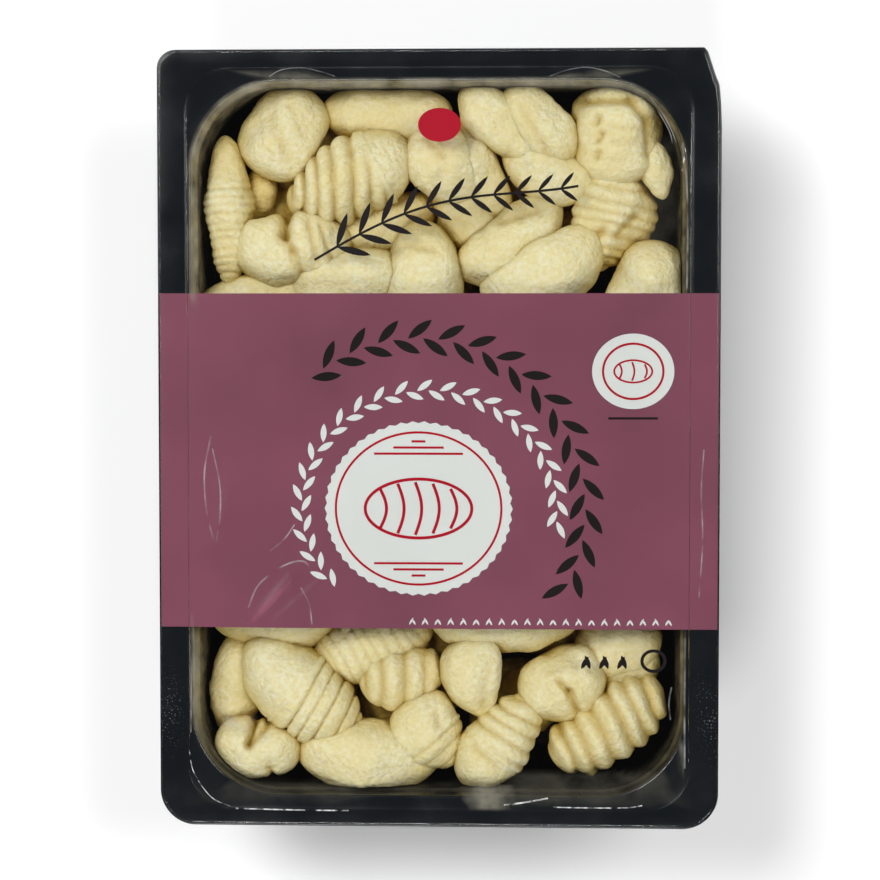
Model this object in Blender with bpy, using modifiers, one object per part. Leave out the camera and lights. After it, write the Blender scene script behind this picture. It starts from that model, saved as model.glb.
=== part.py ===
"""Sealed tray of potato gnocchi: a thermoformed tray, the heap of gnocchi in it,
and the film welded over the flange.  Metres, +Z up.  The origin lies under the
middle of the tray, on the surface that it stands on."""

import math
import random

import bmesh
import bpy

# ---------------------------------------------------------------- driving dimensions

TRAY_WIDTH = 0.137            # across the flange, X
TRAY_LENGTH = 0.190           # along the flange, Y
FLANGE_TOP = 0.038            # height of the sealing land
WALL = 0.0008                 # formed sheet
FLANGE_RADII = (0.0045, 0.0088)      # die-cut corners at the +Y end and at the -Y end
FLANGE_DROOP = 0.0003         # the cut edge hangs this far below the land
DROOP_WIDTH = 0.0027          # width of the flange's bent edge

SEAL = (0.0617, 0.0906, 0.0110)      # half width, half length and corner radius
SEAL_STEP = 0.0003                   # the land drops by this inside the seal
MOUTH = (0.0610, 0.0880, 0.0220)     # where the wall turns down
FLOOR = (0.0514, 0.0789, 0.0130)     # where the floor turns up
FLOOR_FILLET = 0.0062
LEDGE_DEPTH = 0.0050                 # stacking ledge below the flange
LEDGE_WIDTH = 0.0006
BEAD = ((0.0048, 0.0), (0.0060, 0.0012), (0.0086, 0.0012), (0.0098, 0.0))

FILM = 0.00025                # drawn thicker than the real 0.06 mm film
GAP = 0.0003                  # clearance between touching pieces
FILM_TRIM = 0.0004            # the film stops this far inside the flange's edge
FILM_CROWN = 0.0010           # the film stands this much higher in the middle

GNOCCO_HALF_LENGTH = 0.0165
GNOCCO_HALF_WIDTH = 0.0092
HEAP_TOP = 0.0362             # crest of the highest gnocchi
HEAP_VALLEY = 0.0215          # lowest level of the heap's surface
HEAP_PITCH = (0.0262, 0.0166)
HEAP_RIM = 0.016              # the heap meets the wall no lower than this
HEAP_FOOT_INSET = 0.0024      # the heap's underside stays clear of the floor's fillet
HEAP_WALL_GAP = 0.0010
HEAP_GRID = (34, 46)

CORNER_STEPS = 8              # facets in each rounded corner
SIDE_STEPS = 5                # facets along each straight side
FILLET_STEPS = 4              # facets where the wall turns into the floor

# The one corner cut back for peeling the film, from the right edge round to the top edge.
PEEL_CUT = ((0.0685, 0.0760), (0.0683, 0.0815), (0.0679, 0.0860), (0.0670, 0.0882), (0.0651, 0.0940),
            (0.0642, 0.0950))


# ---------------------------------------------------------------- scene and materials

for leftover in list(bpy.data.objects):
    bpy.data.objects.remove(leftover, do_unlink=True)

pack = bpy.data.collections.new("gnocchi_tray")
bpy.context.scene.collection.children.link(pack)


def make_material(name, colour, roughness, metallic=0.0):
    """A plain Principled finish for one sub-part."""
    material = bpy.data.materials.new(name)
    material.use_nodes = True
    shader = material.node_tree.nodes["Principled BSDF"]
    shader.inputs["Base Color"].default_value = (*colour, 1.0)
    shader.inputs["Roughness"].default_value = roughness
    shader.inputs["Metallic"].default_value = metallic
    material.diffuse_color = (*colour, 1.0)
    return material


def add_part(name, mesh, material):
    """Put one named sub-part into the pack's collection."""
    mesh.materials.append(material)
    part = bpy.data.objects.new(name, mesh)
    pack.objects.link(part)
    mesh.shade_smooth()
    mesh.set_sharp_from_angle(angle=math.radians(35))
    return part


# ---------------------------------------------------------------- rounded outlines

def rounded_outline(half_x, half_y, high_radius, low_radius=None):
    """Points round a rounded rectangle, the (+X, +Y) corner first, anticlockwise.  The two
    corners at the -Y end may have a radius of their own."""
    low_radius = low_radius or high_radius
    points = []
    corners = ((1, 1, 0.0, high_radius), (-1, 1, 0.5, high_radius),
               (-1, -1, 1.0, low_radius), (1, -1, 1.5, low_radius))
    for index, (side_x, side_y, start, radius) in enumerate(corners):
        centre_x = side_x * (half_x - radius)
        centre_y = side_y * (half_y - radius)
        for step in range(CORNER_STEPS + 1):
            angle = math.pi * (start + 0.5 * step / CORNER_STEPS)
            points.append((centre_x + radius * math.cos(angle), centre_y + radius * math.sin(angle)))
        next_x, next_y, next_start, next_radius = corners[(index + 1) % 4]
        angle = math.pi * next_start
        end_x = next_x * (half_x - next_radius) + next_radius * math.cos(angle)
        end_y = next_y * (half_y - next_radius) + next_radius * math.sin(angle)
        from_x, from_y = points[-1]
        for step in range(1, SIDE_STEPS):
            share = step / SIDE_STEPS
            points.append((from_x + (end_x - from_x) * share, from_y + (end_y - from_y) * share))
    return points


def ring(half_x, half_y, radius, height):
    """A rounded rectangle of points at one height."""
    return [(x, y, height) for x, y in rounded_outline(half_x, half_y, radius)]


def along_path(path, share):
    """The point at a share of the number of legs of a short open path."""
    place = share * (len(path) - 1)
    leg = min(int(place), len(path) - 2)
    part = place - leg
    return [a + (b - a) * part for a, b in zip(path[leg], path[leg + 1])]


def flange_ring(inset, height):
    """The die-cut flange's outline, set in by a margin, with its peel corner cut back."""
    radii = [radius - inset / 2 for radius in FLANGE_RADII]
    outline = rounded_outline(TRAY_WIDTH / 2 - inset, TRAY_LENGTH / 2 - inset, *radii)
    points = [(x, y, height) for x, y in outline]
    for index in range(CORNER_STEPS + 1):
        x, y = along_path(PEEL_CUT, index / CORNER_STEPS)
        points[index] = (x - inset, y - inset, height)
    return points


def loft(name, rings):
    """Skin a stack of rings, each with the same count of points, and close the last one."""
    bm = bmesh.new()
    rows = [[bm.verts.new(point) for point in points] for points in rings]
    count = len(rows[0])
    for outer, inner in zip(rows, rows[1:]):
        for index in range(count):
            following = (index + 1) % count
            bm.faces.new((outer[index], outer[following], inner[following], inner[index]))
    bm.faces.new(rows[-1])
    mesh = bpy.data.meshes.new(name)
    bm.to_mesh(mesh)
    bm.free()
    return mesh


# ---------------------------------------------------------------- tray

def flange_rings(lift, trim):
    """Rings across the flange to the seal, raised by a clearance and trimmed at the edge."""
    rings = []
    for inset in (trim, 0.0007, 0.0017, DROOP_WIDTH):
        droop = FLANGE_DROOP * (1.0 - inset / DROOP_WIDTH) ** 2
        rings.append(flange_ring(inset, FLANGE_TOP + lift - droop))
    rings.append(ring(*SEAL, FLANGE_TOP + lift))
    return rings


def set_in(outline, inset):
    """A rounded outline's half width, half length and radius, all set in by a margin."""
    half_x, half_y, radius = outline
    return half_x - inset, half_y - inset, radius - inset


def fillet_rings(floor_height):
    """Rings that carry the side wall round into the floor."""
    rings = []
    for step in range(FILLET_STEPS + 1):
        turn = 0.5 * math.pi * step / FILLET_STEPS
        reach = FLOOR_FILLET * math.cos(turn)
        height = floor_height + FLOOR_FILLET * (1 - math.sin(turn))
        rings.append(ring(FLOOR[0] + reach, FLOOR[1] + reach, FLOOR[2] + reach, height))
    return rings


def build_tray():
    """One formed sheet: flange, lip, drafted wall with a stacking ledge, beaded floor."""
    land = FLANGE_TOP - SEAL_STEP
    rings = flange_rings(lift=0.0, trim=0.0)
    rings.append(ring(*set_in(SEAL, 0.0004), land))
    rings.append(ring(*MOUTH, land))
    rings.append(ring(*set_in(MOUTH, 0.0005), land - 0.0003))
    rings.append(ring(*set_in(MOUTH, 0.0008), land - 0.0009))
    rings.append(ring(*set_in(MOUTH, 0.0010), FLANGE_TOP - LEDGE_DEPTH))
    rings.append(ring(*set_in(MOUTH, 0.0010 + LEDGE_WIDTH), FLANGE_TOP - LEDGE_DEPTH - 0.0005))
    rings += fillet_rings(WALL)
    for inset, rise in BEAD:
        rings.append(ring(*set_in(FLOOR, inset), WALL + rise))
    material = make_material("black_tray_plastic", (0.012, 0.014, 0.018), 0.22)
    tray = add_part("tray", loft("tray", rings), material)
    sheet = tray.modifiers.new("formed_sheet", "SOLIDIFY")
    sheet.thickness = WALL
    sheet.offset = -1.0
    sheet.use_even_offset = True
    return tray


# ---------------------------------------------------------------- heap of gnocchi

def gnocco_places():
    """Centres and turns of the gnocchi on top, in staggered rows and a little astray."""
    rng = random.Random(7)
    pitch_x, pitch_y = HEAP_PITCH
    rows = round(2 * MOUTH[1] / pitch_y)
    places = []
    for row in range(rows):
        y = (row - (rows - 1) / 2) * pitch_y
        shift = 0.25 * pitch_x * (1 if row % 2 else -1)
        for column in range(-2, 3):
            x = column * pitch_x + shift + rng.uniform(-0.003, 0.003)
            if abs(x) > MOUTH[0]:
                continue
            turn = rng.uniform(-0.9, 0.9)
            crest = HEAP_TOP - rng.uniform(0.0, 0.0035)
            places.append((x, y + rng.uniform(-0.002, 0.002), turn, crest))
    return places


def heap_height(x, y, places):
    """Height of the heap's uneven surface, the highest gnocco over each point."""
    height = HEAP_VALLEY
    for centre_x, centre_y, turn, crest in places:
        along = (x - centre_x) * math.cos(turn) + (y - centre_y) * math.sin(turn)
        across = (y - centre_y) * math.cos(turn) - (x - centre_x) * math.sin(turn)
        spread = (along / GNOCCO_HALF_LENGTH) ** 2 + (across / GNOCCO_HALF_WIDTH) ** 2
        if spread < 1.0:
            rise = GNOCCO_HALF_WIDTH * math.sqrt(1.0 - spread)
            height = max(height, crest - GNOCCO_HALF_WIDTH + rise)
    return height


def corner_pull(x, y, half_x, half_y, radius):
    """How far a point on the sharp rectangle is drawn in to lie on the rounded one."""
    x, y = abs(x), abs(y)
    centre_x, centre_y = half_x - radius, half_y - radius
    if x <= centre_x or y <= centre_y:
        return 1.0
    reach = x * x + y * y
    facing = x * centre_x + y * centre_y
    spare = centre_x ** 2 + centre_y ** 2 - radius ** 2
    return (facing + math.sqrt(facing * facing - reach * spare)) / reach


def wall_outline(height):
    """The cavity's outline at a height on the straight wall, less the heap's clearance."""
    low = WALL + FLOOR_FILLET
    high = FLANGE_TOP - LEDGE_DEPTH - 0.0005
    share = (height - low) / (high - low)
    bottom = [size + FLOOR_FILLET for size in FLOOR]
    top = set_in(MOUTH, 0.0010 + LEDGE_WIDTH)
    return [a + (b - a) * share - HEAP_WALL_GAP for a, b in zip(bottom, top)]


def build_heap():
    """The gnocchi as one solid: an uneven top over a body that fills the cavity."""
    places = gnocco_places()
    rim = wall_outline(HEAP_RIM)
    foot = wall_outline(WALL + FLOOR_FILLET)
    base_height = WALL + BEAD[1][1] + GAP
    base = [size - HEAP_FOOT_INSET for size in foot]
    bm = bmesh.new()
    bmesh.ops.create_grid(bm, x_segments=HEAP_GRID[0], y_segments=HEAP_GRID[1], size=1.0)
    border = [edge for edge in bm.edges if edge.is_boundary]
    for vert in bm.verts:
        u, v = vert.co.x, vert.co.y
        edge = max(abs(u), abs(v), 1e-9)
        pull = corner_pull(u / edge * rim[0], v / edge * rim[1], *rim)
        x, y = u * rim[0] * pull, v * rim[1] * pull
        vert.co = (x, y, heap_height(x, y, places))
    for outline, height in ((rim, HEAP_RIM), (foot, WALL + FLOOR_FILLET), (base, base_height)):
        skirt = bmesh.ops.extrude_edge_only(bm, edges=border)["geom"]
        border = [item for item in skirt if isinstance(item, bmesh.types.BMEdge)]
        for vert in {corner for edge in border for corner in edge.verts}:
            x, y = vert.co.x, vert.co.y
            sharp = max(abs(x) / outline[0], abs(y) / outline[1])
            x, y = x / sharp, y / sharp
            pull = corner_pull(x, y, *outline)
            vert.co = (x * pull, y * pull, height)
    bmesh.ops.holes_fill(bm, edges=border)
    bmesh.ops.recalc_face_normals(bm, faces=bm.faces)
    mesh = bpy.data.meshes.new("gnocchi")
    bm.to_mesh(mesh)
    bm.free()
    return add_part("gnocchi", mesh, make_material("potato_dough", (0.80, 0.72, 0.48), 0.6))


# ---------------------------------------------------------------- lid film

def build_lid_film():
    """The clear film: it follows the flange and stands a little crowned over the mouth."""
    rings = flange_rings(lift=GAP, trim=FILM_TRIM)
    rings.append(ring(*MOUTH, FLANGE_TOP + GAP))
    for share in (0.86, 0.68, 0.46, 0.22):
        outline = [size * share for size in MOUTH]
        rings.append(ring(*outline, FLANGE_TOP + GAP + FILM_CROWN * (1.0 - share ** 2)))
    material = make_material("printed_lid_film", (0.22, 0.09, 0.12), 0.12)
    film = add_part("lid_film", loft("lid_film", rings), material)
    sheet = film.modifiers.new("film_thickness", "SOLIDIFY")
    sheet.thickness = FILM
    sheet.offset = 1.0
    return film


build_tray()
build_heap()
build_lid_film()
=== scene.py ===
import math
import random

import bpy
import numpy as np
from mathutils import Matrix, Vector


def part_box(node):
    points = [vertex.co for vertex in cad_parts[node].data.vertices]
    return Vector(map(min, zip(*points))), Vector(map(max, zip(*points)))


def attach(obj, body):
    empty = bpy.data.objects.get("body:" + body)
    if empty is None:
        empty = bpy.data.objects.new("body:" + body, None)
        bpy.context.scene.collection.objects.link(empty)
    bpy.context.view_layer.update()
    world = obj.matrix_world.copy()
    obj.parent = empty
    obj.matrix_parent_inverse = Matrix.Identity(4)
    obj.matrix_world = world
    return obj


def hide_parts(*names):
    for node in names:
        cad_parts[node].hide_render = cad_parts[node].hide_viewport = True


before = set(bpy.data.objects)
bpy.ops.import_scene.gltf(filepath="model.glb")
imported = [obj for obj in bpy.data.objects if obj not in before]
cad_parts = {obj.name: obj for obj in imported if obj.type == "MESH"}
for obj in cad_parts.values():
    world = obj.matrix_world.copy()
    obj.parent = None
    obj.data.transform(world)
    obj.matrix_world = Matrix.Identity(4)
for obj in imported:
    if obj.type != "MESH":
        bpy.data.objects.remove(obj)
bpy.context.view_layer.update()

# ------------------------------------------------------------------ formed tray
# The tray is one sheet of glossy black plastic drawn down over a mould, 0.8 mm thick, with a
# stacking ledge under the flange and a stiffening bead in the floor. The flange is die cut after
# sealing, so its edge bends down a little, and one corner is cut back to give a peeling tab.

MM = 0.001

tray_low, tray_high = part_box("tray")
HALF_WIDTH = (tray_high.x - tray_low.x) / 2 / MM
HALF_LENGTH = (tray_high.y - tray_low.y) / 2 / MM
FLANGE_TOP = tray_high.z / MM
WALL = 0.8
FLANGE_RADII = (4.5, 8.8)
FLANGE_DROOP = 0.15
DROOP_WIDTH = 2.7
FLANGE_INSETS = (0.0, 0.35, 0.7, 1.2, 1.9, DROOP_WIDTH)

# The seal, mouth and floor are each a half width, a half length and a corner radius.
SEAL = (61.7, 90.6, 11.0)
MOUTH = (61.0, 88.0, 22.0)
FLOOR = (51.4, 78.9, 13.0)
FLOOR_FILLET = 6.2
SEAL_STEP = 0.3
SEAL_PROFILE = (
    # inset from the seal's outline, drop below the flange
    (-0.5, 0.0),
    (0.0, 0.1),
    (0.35, SEAL_STEP),
)
LIP_RADIUS = 0.8
LEDGE_TOP = FLANGE_TOP - 5.0
LEDGE_FOOT = 1.2
LEDGE_PROFILE = (
    # inset from the mouth's outline, rise above the ledge
    (0.9, 0.5),
    (1.0, 0.1),
    (1.2, -0.15),
    (1.5, -0.3),
    (1.6, -0.6),
    (1.65, -LEDGE_FOOT),
)
WALL_INSET = 1.7
WALL_TOP = LEDGE_TOP - LEDGE_FOOT
WALL_FOOT = WALL + FLOOR_FILLET
BEAD_RISE = 1.2
BEAD_PROFILE = (
    # inset from the floor's outline, rise above it
    (4.6, 0.0),
    (4.9, 0.1),
    (5.8, 1.1),
    (6.2, BEAD_RISE),
    (8.4, BEAD_RISE),
    (8.8, 1.1),
    (9.6, 0.1),
    (9.9, 0.0),
)
PEEL_CUT = ((68.5, 76.0), (68.3, 81.5), (67.9, 86.0), (67.0, 88.2), (65.1, 94.0), (64.2, 95.0))
CORNER_STEPS = 20
SIDE_STEPS = 28


def rounded_outline(half_x, half_y, high_radius, low_radius=None, cut_corner=None):
    """Points round a rounded rectangle, the (+X, +Y) corner first, anticlockwise. The two
    corners at the -Y end may have a radius of their own, and the first one its own points."""
    low_radius = low_radius or high_radius
    points = []
    corners = ((1, 1, 0.0, high_radius), (-1, 1, 0.5, high_radius),
               (-1, -1, 1.0, low_radius), (1, -1, 1.5, low_radius))
    for side_x, side_y, start, radius in corners:
        turn = math.pi * (start + np.linspace(0.0, 0.5, CORNER_STEPS + 1))
        x = side_x * (half_x - radius) + radius * np.cos(turn)
        y = side_y * (half_y - radius) + radius * np.sin(turn)
        points.append(np.stack([x, y], axis=1))
    if cut_corner is not None:
        points[0] = cut_corner
    outline = []
    for arc, following in zip(points, points[1:] + points[:1]):
        share = np.linspace(0.0, 1.0, SIDE_STEPS + 1)[1:-1, None]
        outline += [arc, arc[-1] + (following[0] - arc[-1]) * share]
    return np.concatenate(outline)


def ring(outline, height):
    """A rounded rectangle of points at one height."""
    flat = rounded_outline(*outline)
    return np.column_stack([flat, np.full(len(flat), height)])


def set_in(outline, inset):
    """A rounded outline's half width, half length and radius, all set in by a margin."""
    return tuple(size - inset for size in outline)


def flange_outline(inset):
    """The die-cut edge set in by a margin, with its peel corner cut back."""
    radii = [radius - inset / 2 for radius in FLANGE_RADII]
    legs = np.linspace(0, len(PEEL_CUT) - 1, CORNER_STEPS + 1)
    cut = np.array(PEEL_CUT) - inset
    corner = np.stack([np.interp(legs, range(len(cut)), cut[:, axis]) for axis in (0, 1)], axis=1)
    return rounded_outline(HALF_WIDTH - inset, HALF_LENGTH - inset, *radii, cut_corner=corner)


def droop(inset):
    """How far the flange hangs down at a distance inside its cut edge."""
    return FLANGE_DROOP * np.clip(1.0 - inset / DROOP_WIDTH, 0.0, 1.0) ** 2


def skin(name, rings):
    """A mesh over a stack of rings with equal counts of points, its last ring filled."""
    count = len(rings[0])
    points = np.concatenate(rings) * MM
    faces = []
    for row in range(len(rings) - 1):
        for index in range(count):
            following = (index + 1) % count
            start, under = row * count, (row + 1) * count
            faces.append((start + index, start + following, under + following, under + index))
    faces.append(tuple(range((len(rings) - 1) * count, len(rings) * count)))
    mesh = bpy.data.meshes.new(name)
    mesh.from_pydata(points.tolist(), [], faces)
    mesh.shade_smooth()
    return mesh


def add_piece(name, mesh, material, slot, *nodes):
    """One finished piece: its material, the body it rides on and what it stands for."""
    mesh.materials.append(material)
    piece = bpy.data.objects.new(name, mesh)
    bpy.context.scene.collection.objects.link(piece)
    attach(piece, "root")
    if nodes:
        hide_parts(*nodes)
    return piece


def tray_rings():
    """The product side of the sheet, from the cut edge in over the flange and down to the floor."""
    rings = []
    for inset in FLANGE_INSETS:
        outline = flange_outline(inset)
        height = np.full(len(outline), FLANGE_TOP - droop(inset))
        rings.append(np.column_stack([outline, height]))
    for inset, drop in SEAL_PROFILE:
        rings.append(ring(set_in(SEAL, inset), FLANGE_TOP - drop))
    lip = FLANGE_TOP - SEAL_STEP
    rings.append(ring(set_in(MOUTH, -0.2), lip))
    for turn in np.linspace(0.0, 0.5 * math.pi, 5):
        drop = LIP_RADIUS * (1 - math.cos(turn))
        rings.append(ring(set_in(MOUTH, LIP_RADIUS * math.sin(turn)), lip - drop))
    for inset, rise in LEDGE_PROFILE:
        rings.append(ring(set_in(MOUTH, inset), LEDGE_TOP + rise))
    top_outline = np.array(set_in(MOUTH, WALL_INSET))
    foot_outline = np.array(FLOOR) + FLOOR_FILLET
    for share in np.linspace(0.08, 0.94, 9):
        outline = top_outline + (foot_outline - top_outline) * share
        rings.append(ring(outline, WALL_TOP + (WALL_FOOT - WALL_TOP) * share))
    for turn in np.linspace(0.0, 0.5 * math.pi, 9):
        outline = np.array(FLOOR) + FLOOR_FILLET * math.cos(turn)
        rings.append(ring(outline, WALL + FLOOR_FILLET * (1 - math.sin(turn))))
    for inset, rise in BEAD_PROFILE:
        rings.append(ring(set_in(FLOOR, inset), WALL + rise))
    return rings


def new_material(name):
    """An empty node material: its tree, its Principled shader and its output."""
    material = bpy.data.materials.new(name)
    material.use_nodes = True
    tree = material.node_tree
    return material, tree, tree.nodes["Principled BSDF"], tree.nodes["Material Output"]


def speckle(tree, scale, detail, low, high):
    """Cloudy noise in the piece's own space, stretched between two limits."""
    place = tree.nodes.new("ShaderNodeTexCoord")
    noise = tree.nodes.new("ShaderNodeTexNoise")
    noise.inputs["Scale"].default_value = scale
    noise.inputs["Detail"].default_value = detail
    spread = tree.nodes.new("ShaderNodeMapRange")
    spread.inputs["From Min"].default_value = low
    spread.inputs["From Max"].default_value = high
    tree.links.new(place.outputs["Object"], noise.inputs["Vector"])
    tree.links.new(noise.outputs["Fac"], spread.inputs["Value"])
    return spread


def painted(mesh, name, values):
    """One number for each point of a mesh, for its material to read."""
    layer = mesh.attributes.new(name, "FLOAT", "POINT")
    layer.data.foreach_set("value", np.asarray(values, dtype=np.float32))


def read_paint(tree, name):
    """The socket that gives a painted number back."""
    node = tree.nodes.new("ShaderNodeAttribute")
    node.attribute_name = name
    return node.outputs["Fac"]


def multiplied(tree, first, second):
    """The socket of one value times another."""
    node = tree.nodes.new("ShaderNodeMath")
    node.operation = "MULTIPLY"
    for socket, value in zip(node.inputs, (first, second)):
        if isinstance(value, float):
            socket.default_value = value
        else:
            tree.links.new(value, socket)
    return node.outputs["Value"]


def blended(tree, factor, first, second):
    """The socket of a colour between two, each a colour or another socket."""
    node = tree.nodes.new("ShaderNodeMix")
    node.data_type = "RGBA"
    for socket, value in zip((node.inputs["A"], node.inputs["B"]), (first, second)):
        if isinstance(value, tuple):
            socket.default_value = (*value, 1.0)
        else:
            tree.links.new(value, socket)
    tree.links.new(factor, node.inputs["Factor"])
    return node.outputs["Result"]


def black_plastic(name, with_dough_reflection):
    """Glossy black sheet: uneven gloss and fine scuffs, with a painted reflection of the dough if it faces
    the food.
    """
    material, tree, shader, _ = new_material(name)
    shader.inputs["Specular IOR Level"].default_value = 0.5
    gloss = speckle(tree, 90.0, 3.0, 0.3, 0.7)
    gloss.inputs["To Min"].default_value = 0.16
    gloss.inputs["To Max"].default_value = 0.30
    tree.links.new(gloss.outputs["Result"], shader.inputs["Roughness"])
    scratches = speckle(tree, 2600.0, 1.0, 0.66, 0.72).outputs["Result"]
    scuff = multiplied(tree, scratches, read_paint(tree, "scuff"))
    colour = blended(tree, scuff, (0.006, 0.008, 0.011), (0.22, 0.23, 0.24))
    # Painted reflection: a pale beige is mixed in by the painted amount, on the side that faces the food.
    if with_dough_reflection:
        mottle = speckle(tree, 240.0, 3.0, 0.2, 0.75).outputs["Result"]
        dough_reflection = multiplied(tree, mottle, read_paint(tree, "dough_reflection"))
        colour = blended(tree, dough_reflection, colour, (0.30, 0.25, 0.135))
    tree.links.new(colour, shader.inputs["Base Color"])
    return material


# A painted reflection of the dough lies on the upper walls as a pale beige. It thins out towards the -Y end
# and a little towards +X, and a faint trace of it, a painted light, lies on everything else below the
# flange.
REFLECTION_FOOT = 20.0
REFLECTION_FADE = 3.0
REFLECTION_TOP = 37.0
TOP_FADE = 0.6
REFLECTION_END = -95.0
REFLECTION_RUN = 40.0
REFLECTION_LEAN = 0.25
REFLECTION_LEAST = 0.10
SCUFF_SIZE = (2.2, 7.0)
SCUFFS = ((-66.0, -67.0), (66.6, -69.0))


def ramp(value, low, high):
    """A smooth step from 0 at one value to 1 at another."""
    share = np.clip((value - low) / (high - low), 0.0, 1.0)
    return share * share * (3.0 - 2.0 * share)


tray_mesh = skin("formed_tray", tray_rings())
tray_points = np.array([vert.co for vert in tray_mesh.vertices]) / MM
x, y, z = tray_points.T
# The painted reflection of the dough: strongest on the upper walls, less towards -Y and +X, faint
# everywhere else below the flange.
above_top = ramp(z, REFLECTION_TOP, REFLECTION_TOP + TOP_FADE)
dough_reflection = ramp(z, REFLECTION_FOOT, REFLECTION_FOOT + REFLECTION_FADE) * (1.0 - above_top)
dough_reflection *= ramp(y, REFLECTION_END, REFLECTION_END + REFLECTION_RUN) * (1.0 - REFLECTION_LEAN * x / HALF_WIDTH)
painted(tray_mesh, "dough_reflection", np.maximum(dough_reflection, REFLECTION_LEAST * (z < REFLECTION_TOP)))
rubbed = np.zeros(len(z))
for scuff_x, scuff_y in SCUFFS:
    rubbed += np.exp(-((x - scuff_x) / SCUFF_SIZE[0]) ** 2 - ((y - scuff_y) / SCUFF_SIZE[1]) ** 2)
painted(tray_mesh, "scuff", rubbed * above_top)
inner_side = black_plastic("black_tray_plastic", with_dough_reflection=True)
tray = add_piece("formed_tray", tray_mesh, inner_side, "tray_plastic", "tray")
tray_mesh.materials.append(black_plastic("black_tray_underside", with_dough_reflection=False))
sheet = tray.modifiers.new("sheet", "SOLIDIFY")
sheet.thickness = WALL * MM
sheet.offset = -1.0
sheet.use_even_offset = True
sheet.material_offset = 1

# ------------------------------------------------------------------ gnocchi
# Each gnocco is a soft lump of potato dough, rolled off a ribbed board, so one side carries
# rounded ridges and the other is smooth or folded over the thumb's dent. They are moist and
# lightly floured, and lie where they fell, pressed together, two layers and a top layer deep.

# Each one's middle, its turn in degrees, its length and width, and the height of its crest.
# blunt is how full its ends are, taper how it narrows to one tip, bend how it bows sideways, and
# facets how angular its girth is. Ridges are pitch, depth, sharpness and the stretch that they
# cover from tip to tip, and slant is their lean. Presses are the dents and folds, each a line,
# its depth and its half width.
RIDGED = (
    dict(at=(-51.9, 56.4), turn=92, size=(37.0, 11.6), crest=34.8, blunt=1.8,
         ridges=(2.1, 0.38, 2.0, -1.0, 0.35), slant=0.0),
    dict(at=(-21.6, 64.2), turn=27, size=(34.5, 20.0), crest=37.6, blunt=2.6,
         ridges=(4.5, 1.45, 2.4, -1.0, 0.35), slant=-0.4),
    dict(at=(40.8, 52.6), turn=62, size=(29.0, 18.0), crest=34.4, blunt=2.1, taper=0.32,
         facets=0.05, ridges=(3.0, 0.55, 1.6, -1.0, 1.0), slant=0.3,
         presses=((36.0, 46.5, 40.0, 51.5, 1.3, 1.1), (44.0, 50.0, 48.5, 55.0, 1.2, 1.0))),
    dict(at=(-34.9, -62.9), turn=-40, size=(36.0, 21.0), crest=37.9, blunt=2.3,
         ridges=(3.7, 1.20, 6.0, 0.00, 1.0), slant=0.17),
    dict(at=(-16.5, -51.2), turn=18, size=(31.0, 17.5), crest=34.0, blunt=2.3,
         ridges=(2.8, 0.40, 2.5, -1.0, 1.0), slant=0.2),
    dict(at=(-9.6, -59.4), turn=12, size=(21.5, 15.5), crest=35.2, blunt=2.6,
         ridges=(4.9, 0.95, 1.8, -0.9, 0.8), slant=-0.2),
    dict(at=(-2.9, -73.0), turn=-57, size=(21.0, 17.5), crest=36.4, blunt=2.2, taper=-0.3,
         ridges=(3.4, 0.50, 3.0, 0.1, 1.0), slant=0.1, presses=((-0.6, -67.5, 0.4, -70.5, 0.8, 0.8),)),
    dict(at=(14.9, -75.5), turn=50, size=(28.0, 17.0), crest=36.6, blunt=2.2,
         ridges=(3.6, 0.75, 2.2, -0.1, 1.0), slant=0.15, presses=((8.5, -75.0, 14.5, -81.0, 0.7, 0.9),)),
    dict(at=(41.9, -71.0), turn=38, size=(33.0, 18.0), crest=36.6, blunt=3.0,
         ridges=(4.9, 1.45, 1.5, -1.0, 1.0), slant=-0.19),
)
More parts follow.
